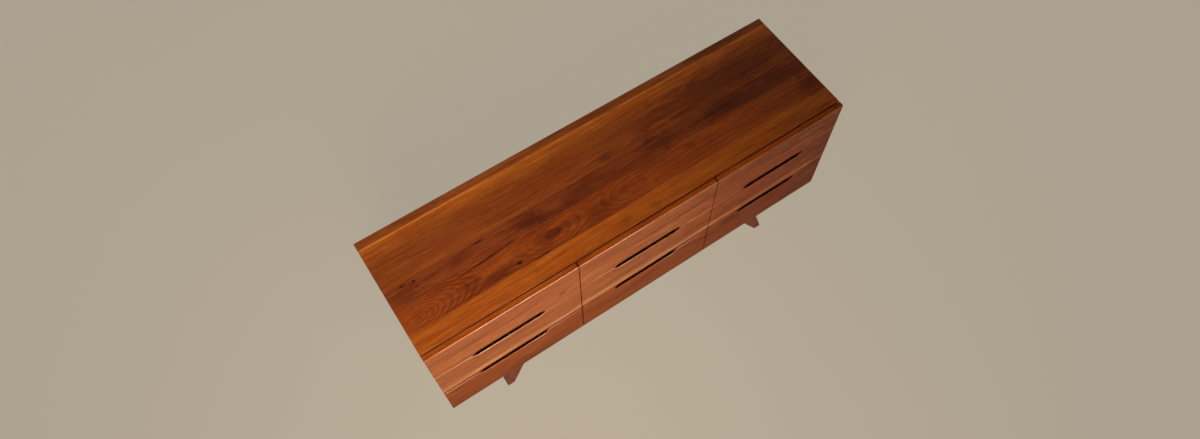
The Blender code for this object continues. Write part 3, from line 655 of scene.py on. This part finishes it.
legWood = dict(
    walnutGrain, axes="ZXY", face=0, span=(-700, 700), seed=13,
    tones=[(0, "#743818", 0), (700, "#78391a", 0.6)],
    boards=[(0, -1900, 80, 0.35, 0.2, 0.05), (700, 1900, 80, 0.35, 0.2, 0.05)])
railWood = dict(legWood, axes="YXZ", seed=14)

# Drawer boxes: ash sides and backs, pale, straight-grained, bare and sanded, on thin birch ply bottoms
boxGrain = {
    "wanderScale": (1.2, 5.0, 5.0), "wander": (0.0, 0.020, 0.030), "ringWidth": 4.0, "unevenScale": 70.0,
    "figureStrength": 0.25, "fibreStrength": 0.3, "poreStrength": 0.1, "streakScale": (2.0, 12.0, 12.0),
    "toneSwing": 0.05, "roughness": 0.58, "gloss": 0.3, "endTint": "#c8b49c",
    "boards": [(390, 100, 90, 0.4, 0.1, 0), (580, 900, 90, 0.4, 0.1, 0), (770, 100, 300, 0.4, 0.1, 0)],
}
boxSideWood = dict(
    boxGrain, axes="YZX", face=0, span=(200, 770), seed=21,
    tones=[(390, "#d8b888", 0), (580, "#dcbd8e", 0.6), (770, "#d4b382", 0.6)])
boxBackWood = dict(
    boxGrain, axes="XZY", face=221, span=(200, 770), seed=22,
    tones=[(390, "#d6b686", 0), (580, "#dabb8c", 0.6), (770, "#d2b180", 0.6)])
boxBottomWood = dict(
    boxGrain, axes="XYZ", face=220, span=(-254, 254), seed=23,
    tones=[(254, "#d9c09a", 0)], boards=[(254, 0, 30, 0.3, 0.05, 0)])

caseFinish = makeBoardWood("oiledWalnutCase", caseWood)
boxSideFinish = makeBoardWood("bareAshSides", boxSideWood)
finishByEnding = {   # the end of a node's name tells its finish
    "top_panel": makeBoardWood("oiledWalnutTop", topWood),
    "_front": makeBoardWood("oiledWalnutFronts", frontWood),
    "side_panel": caseFinish,
    "_divider": caseFinish,
    "bottom_panel": makeBoardWood("oiledWalnutFloorPanel", floorWood),
    "back_panel": makeBoardWood("oiledWalnutBackPanel", backWood),
    "_leg": makeBoardWood("oiledWalnutLegs", legWood),
    "_leg_rail": makeBoardWood("oiledWalnutRails", railWood),
    "drawer_left_side": boxSideFinish,
    "drawer_right_side": boxSideFinish,
    "drawer_back": makeBoardWood("bareAshBacks", boxBackWood),
    "drawer_bottom": makeBoardWood("birchPlyBottoms", boxBottomWood),
}
for name, node in nodes.items():
    finish = next(material for ending, material in finishByEnding.items() if name.endswith(ending))
    for slot in node.material_slots:
        slot.material = finish
print("woods laid on", len(nodes), "nodes")

# Screws: one Geometry Nodes tree sets a slotted head on each point of a mesh, turned to its face
screwHead = {
    "radius": 5.0, "rise": 0.25, "sunk": 0.8, "slotWidth": 1.1, "slotDepth": 0.7,   # mm
    "topShare": 0.86, "barShare": 3.0,                                              # shares of the radius
    "sides": 20, "turnSeed": 4,
}
screwRows = {
    "railX": 546.5, "railY": 104.9, "wellDepth": 24.0,       # in the wells that the rails have
    "backEdge": 5.0, "backAcross": 9, "backUp": 3,           # round the back panel and up both dividers
    "postEvery": 3,                                          # of these rows, on an end or a divider
    "floorFromRear": 6.0, "floorFromSide": 60.0,             # up through each drawer's floor into its back
    "runnerY": (-180.0, 19.0, 218.0),
    "railSize": 1.0, "backSize": 0.64, "floorSize": 0.6, "runnerSize": 0.72,   # shares of the head's radius
}


def screwTree():
    tree = bpy.data.node_groups.new("slottedScrews", "GeometryNodeTree")
    tree.is_modifier = True
    sizes = ("Head Radius", "Rise", "Sunk", "Slot Width", "Slot Depth")
    tree.interface.new_socket("Geometry", in_out="INPUT", socket_type="NodeSocketGeometry")
    for label in sizes:
        tree.interface.new_socket(label, in_out="INPUT", socket_type="NodeSocketFloat")
    tree.interface.new_socket("Steel", in_out="INPUT", socket_type="NodeSocketMaterial")
    tree.interface.new_socket("Geometry", in_out="OUTPUT", socket_type="NodeSocketGeometry")
    given = tree.nodes.new("NodeGroupInput").outputs
    radius, rise, sunk, slotWidth, slotDepth = [given[label] for label in sizes]
    # head: a low cone with its top a little above the face and its foot sunk in the wood
    topRadius = addNode(tree, "ShaderNodeMath", {
        "operation": "MULTIPLY", 0: radius, 1: screwHead["topShare"]})
    height = addNode(tree, "ShaderNodeMath", {"operation": "ADD", 0: rise, 1: sunk})
    cone = addNode(tree, "GeometryNodeMeshCone", {
        "Vertices": screwHead["sides"], "Radius Top": topRadius, "Radius Bottom": radius, "Depth": height})
    foot = addNode(tree, "ShaderNodeMath", {"operation": "MULTIPLY", 0: sunk, 1: -1.0})
    footPlace = addNode(tree, "ShaderNodeCombineXYZ", {"Z": foot})
    head = addNode(tree, "GeometryNodeTransform", {
        "Geometry": cone.outputs["Mesh"], "Translation": footPlace})
    # driver slot, cut across the head from above by a bar twice as tall as the slot is deep
    barLength = addNode(tree, "ShaderNodeMath", {
        "operation": "MULTIPLY", 0: radius, 1: screwHead["barShare"]})
    barTall = addNode(tree, "ShaderNodeMath", {"operation": "MULTIPLY", 0: slotDepth, 1: 2.0})
    barSize = addNode(tree, "ShaderNodeCombineXYZ", {"X": barLength, "Y": slotWidth, "Z": barTall})
    bar = addNode(tree, "GeometryNodeMeshCube", {"Size": barSize})
    barPlace = addNode(tree, "ShaderNodeCombineXYZ", {"Z": rise})
    barUp = addNode(tree, "GeometryNodeTransform", {"Geometry": bar.outputs["Mesh"], "Translation": barPlace})
    slotted = addNode(tree, "GeometryNodeMeshBoolean", {"operation": "DIFFERENCE", "solver": "EXACT"})
    tree.links.new(head.outputs[0], slotted.inputs["Mesh 1"])
    tree.links.new(barUp.outputs[0], slotted.inputs["Mesh 2"])
    # each head faces out of the wood, is turned by chance and scaled for its kind
    facing = addNode(tree, "GeometryNodeInputNamedAttribute", {"data_type": "FLOAT_VECTOR", "Name": "facing"})
    size = addNode(tree, "GeometryNodeInputNamedAttribute", {"data_type": "FLOAT", "Name": "size"})
    aligned = addNode(tree, "FunctionNodeAlignRotationToVector", {"axis": "Z", "Vector": facing.outputs[0]})
    chance = addNode(tree, "FunctionNodeRandomValue", {"data_type": "FLOAT", "Seed": screwHead["turnSeed"]})
    spin = addNode(tree, "ShaderNodeMath", {"operation": "MULTIPLY", 0: chance.outputs[1], 1: math.pi})
    spun = addNode(tree, "FunctionNodeAxisAngleToRotation", {"Axis": (0.0, 0.0, 1.0), "Angle": spin})
    turned = addNode(tree, "FunctionNodeRotateRotation", {"rotation_space": "LOCAL", 0: aligned, 1: spun})
    heads = addNode(tree, "GeometryNodeInstanceOnPoints", {
        "Points": given["Geometry"], "Instance": slotted.outputs["Mesh"], "Rotation": turned,
        "Scale": size.outputs[0]})
    real = addNode(tree, "GeometryNodeRealizeInstances", {"Geometry": heads})
    painted = addNode(tree, "GeometryNodeSetMaterial", {"Geometry": real, "Material": given["Steel"]})
    addNode(tree, "NodeGroupOutput", {"Geometry": painted})
    return tree


def setScrews(name, body, spots):
    # spots: (place in mm, way that the head faces, size)
    mesh = bpy.data.meshes.new(name)
    mesh.from_pydata([[length * mm for length in place] for place, _, _ in spots], [], [])
    mesh.attributes.new("facing", "FLOAT_VECTOR", "POINT")
    mesh.attributes.new("size", "FLOAT", "POINT")
    for index, (_, way, share) in enumerate(spots):   # looked up anew, as a new attribute moves older ones
        mesh.attributes["facing"].data[index].vector = way
        mesh.attributes["size"].data[index].value = share
    piece = bpy.data.objects.new(name, mesh)
    scene.collection.objects.link(piece)
    modifier = piece.modifiers.new("screws", "NODES")
    modifier.node_group = screwGroup
    values = {
        "Head Radius": screwHead["radius"] * mm, "Rise": screwHead["rise"] * mm,
        "Sunk": screwHead["sunk"] * mm, "Slot Width": screwHead["slotWidth"] * mm,
        "Slot Depth": screwHead["slotDepth"] * mm, "Steel": steel,
    }
    for socket in screwGroup.interface.items_tree:
        if socket.name in values:
            modifier[socket.identifier] = values[socket.name]
    finished = bpy.data.meshes.new_from_object(piece.evaluated_get(bpy.context.evaluated_depsgraph_get()))
    piece.modifiers.remove(modifier)
    piece.data = finished
    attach(piece, body)


# Steel screws gone dull: grey, with clouds of old zinc about 1 mm across, some duller than others
dullSteel = {
    "dark": "#6f6a62", "pale": "#b8b2a6", "cloudScale": 900.0, "cloudDetail": 3.0,
    "roughBand": (0.3, 0.7), "roughness": (0.30, 0.52),
}
steel = bpy.data.materials.new("dulledZincSteel")
steel.use_nodes = True
steelTree = steel.node_tree
steelShader = steelTree.nodes["Principled BSDF"]
steelShader.inputs["Metallic"].default_value = 1.0
steelPlace = addNode(steelTree, "ShaderNodeTexCoord", {})
zincCloud = addNode(steelTree, "ShaderNodeTexNoise", {
    0: steelPlace.outputs["Object"], "Scale": dullSteel["cloudScale"], "Detail": dullSteel["cloudDetail"]})
steelTone = addNode(steelTree, "ShaderNodeMix", {
    "data_type": "RGBA", 0: zincCloud, 6: hexToLinear(dullSteel["dark"]), 7: hexToLinear(dullSteel["pale"])})
steelRough = addNode(steelTree, "ShaderNodeMapRange", {
    0: zincCloud, 1: dullSteel["roughBand"][0], 2: dullSteel["roughBand"][1],
    3: dullSteel["roughness"][0], 4: dullSteel["roughness"][1]})
steelTree.links.new(steelTone.outputs[2], steelShader.inputs["Base Color"])
steelTree.links.new(steelRough.outputs[0], steelShader.inputs["Roughness"])

screwGroup = screwTree()
caseSpots = []
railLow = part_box("left_leg_rail")[0][2] / mm
for side in (-1, 1):
    for step in (-1, 0, 1):
        place = (side * screwRows["railX"], step * screwRows["railY"], railLow + screwRows["wellDepth"])
        caseSpots.append((place, (0, 0, -1), screwRows["railSize"]))
backLow, backHigh = [[length / mm for length in corner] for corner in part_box("back_panel")]
acrossStep = (backHigh[0] - backLow[0] - 2 * screwRows["backEdge"]) / screwRows["backAcross"]
upStep = (backHigh[2] - backLow[2] - 2 * screwRows["backEdge"]) / screwRows["backUp"]
for across in range(screwRows["backAcross"] + 1):
    for up in range(screwRows["backUp"] + 1):
        atEdge = up in (0, screwRows["backUp"])
        atPost = across % screwRows["postEvery"] == 0
        if atEdge or atPost:
            place = (backLow[0] + screwRows["backEdge"] + across * acrossStep, backHigh[1],
                     backLow[2] + screwRows["backEdge"] + up * upStep)
            caseSpots.append((place, (0, 1, 0), screwRows["backSize"]))
runnerWalls = (   # node, which end of its box carries runners, and the way that these face along X
    ("left_side_panel", 1, 1), ("left_divider", 0, -1), ("left_divider", 1, 1),
    ("right_divider", 0, -1), ("right_divider", 1, 1), ("right_side_panel", 0, -1),
)
for name, end, way in runnerWalls:
    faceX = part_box(name)[end][0] / mm
    for row in ("top", "middle", "bottom"):
        low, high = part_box(row + "_left_drawer_back")
        middleZ = (low[2] + high[2]) / 2 / mm
        for runnerY in screwRows["runnerY"]:
            caseSpots.append(((faceX, runnerY, middleZ), (way, 0, 0), screwRows["runnerSize"]))
setScrews("case_screws", "case", caseSpots)
for body in frame["bodies"]:
    if body.endswith("_drawer"):
        low, high = [[length / mm for length in corner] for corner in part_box(body + "_bottom")]
        rear = high[1] - screwRows["floorFromRear"]
        inset = screwRows["floorFromSide"]
        acrossX = (low[0] + inset, (low[0] + high[0]) / 2, high[0] - inset)
        floorSpots = [((x, rear, low[2]), (0, 0, -1), screwRows["floorSize"]) for x in acrossX]
        setScrews(body + "_screws", body, floorSpots)
print("screws set:", len(caseSpots), "in the case")
